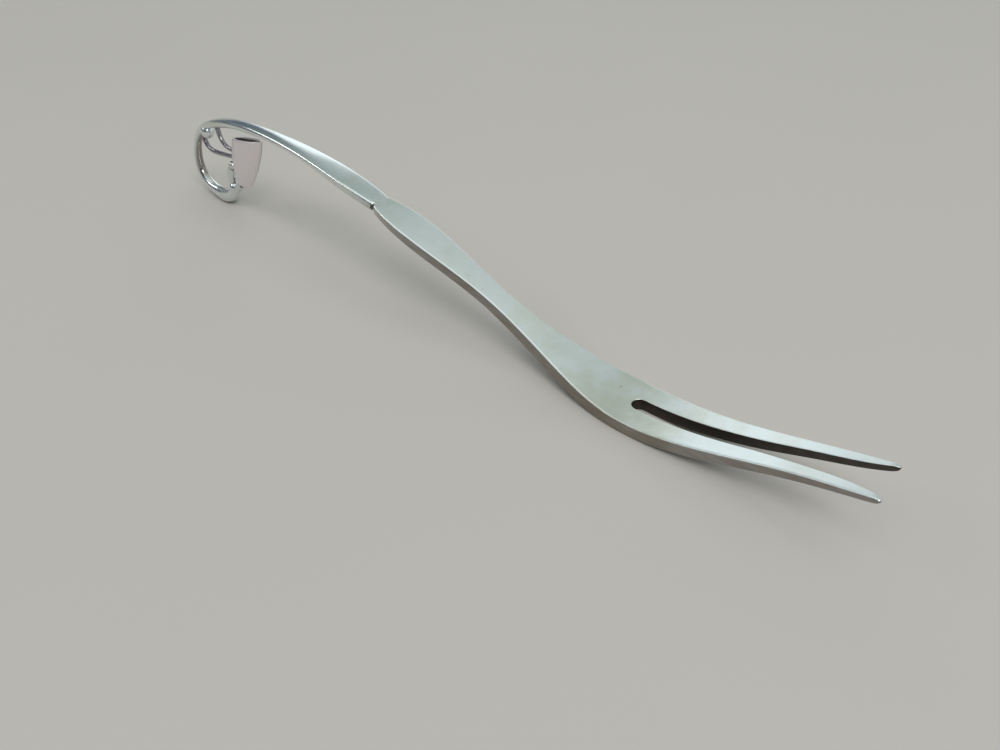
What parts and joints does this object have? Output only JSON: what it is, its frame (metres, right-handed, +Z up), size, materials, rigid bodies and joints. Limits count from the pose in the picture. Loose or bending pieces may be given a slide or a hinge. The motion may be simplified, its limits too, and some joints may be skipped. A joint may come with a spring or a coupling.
{
  "type": "cocktail fork",
  "caption": "Small silver fork with two tines, a leaf-shaped swelling on its handle and an openwork curled end with a bud.",
  "frame": {"origin": "centre of the fork's outer box at the level of the table it rests on", "axes": "+X along the fork from the curled end towards the tines; +Y across the fork; +Z up from the table"},
  "size_m": [0.1506, 0.0096, 0.02],
  "materials": {
    "silver": "satin"
  },
  "bodies": {
    "root": {"cocktail_fork": "silver"}
  },
  "joints": []
}
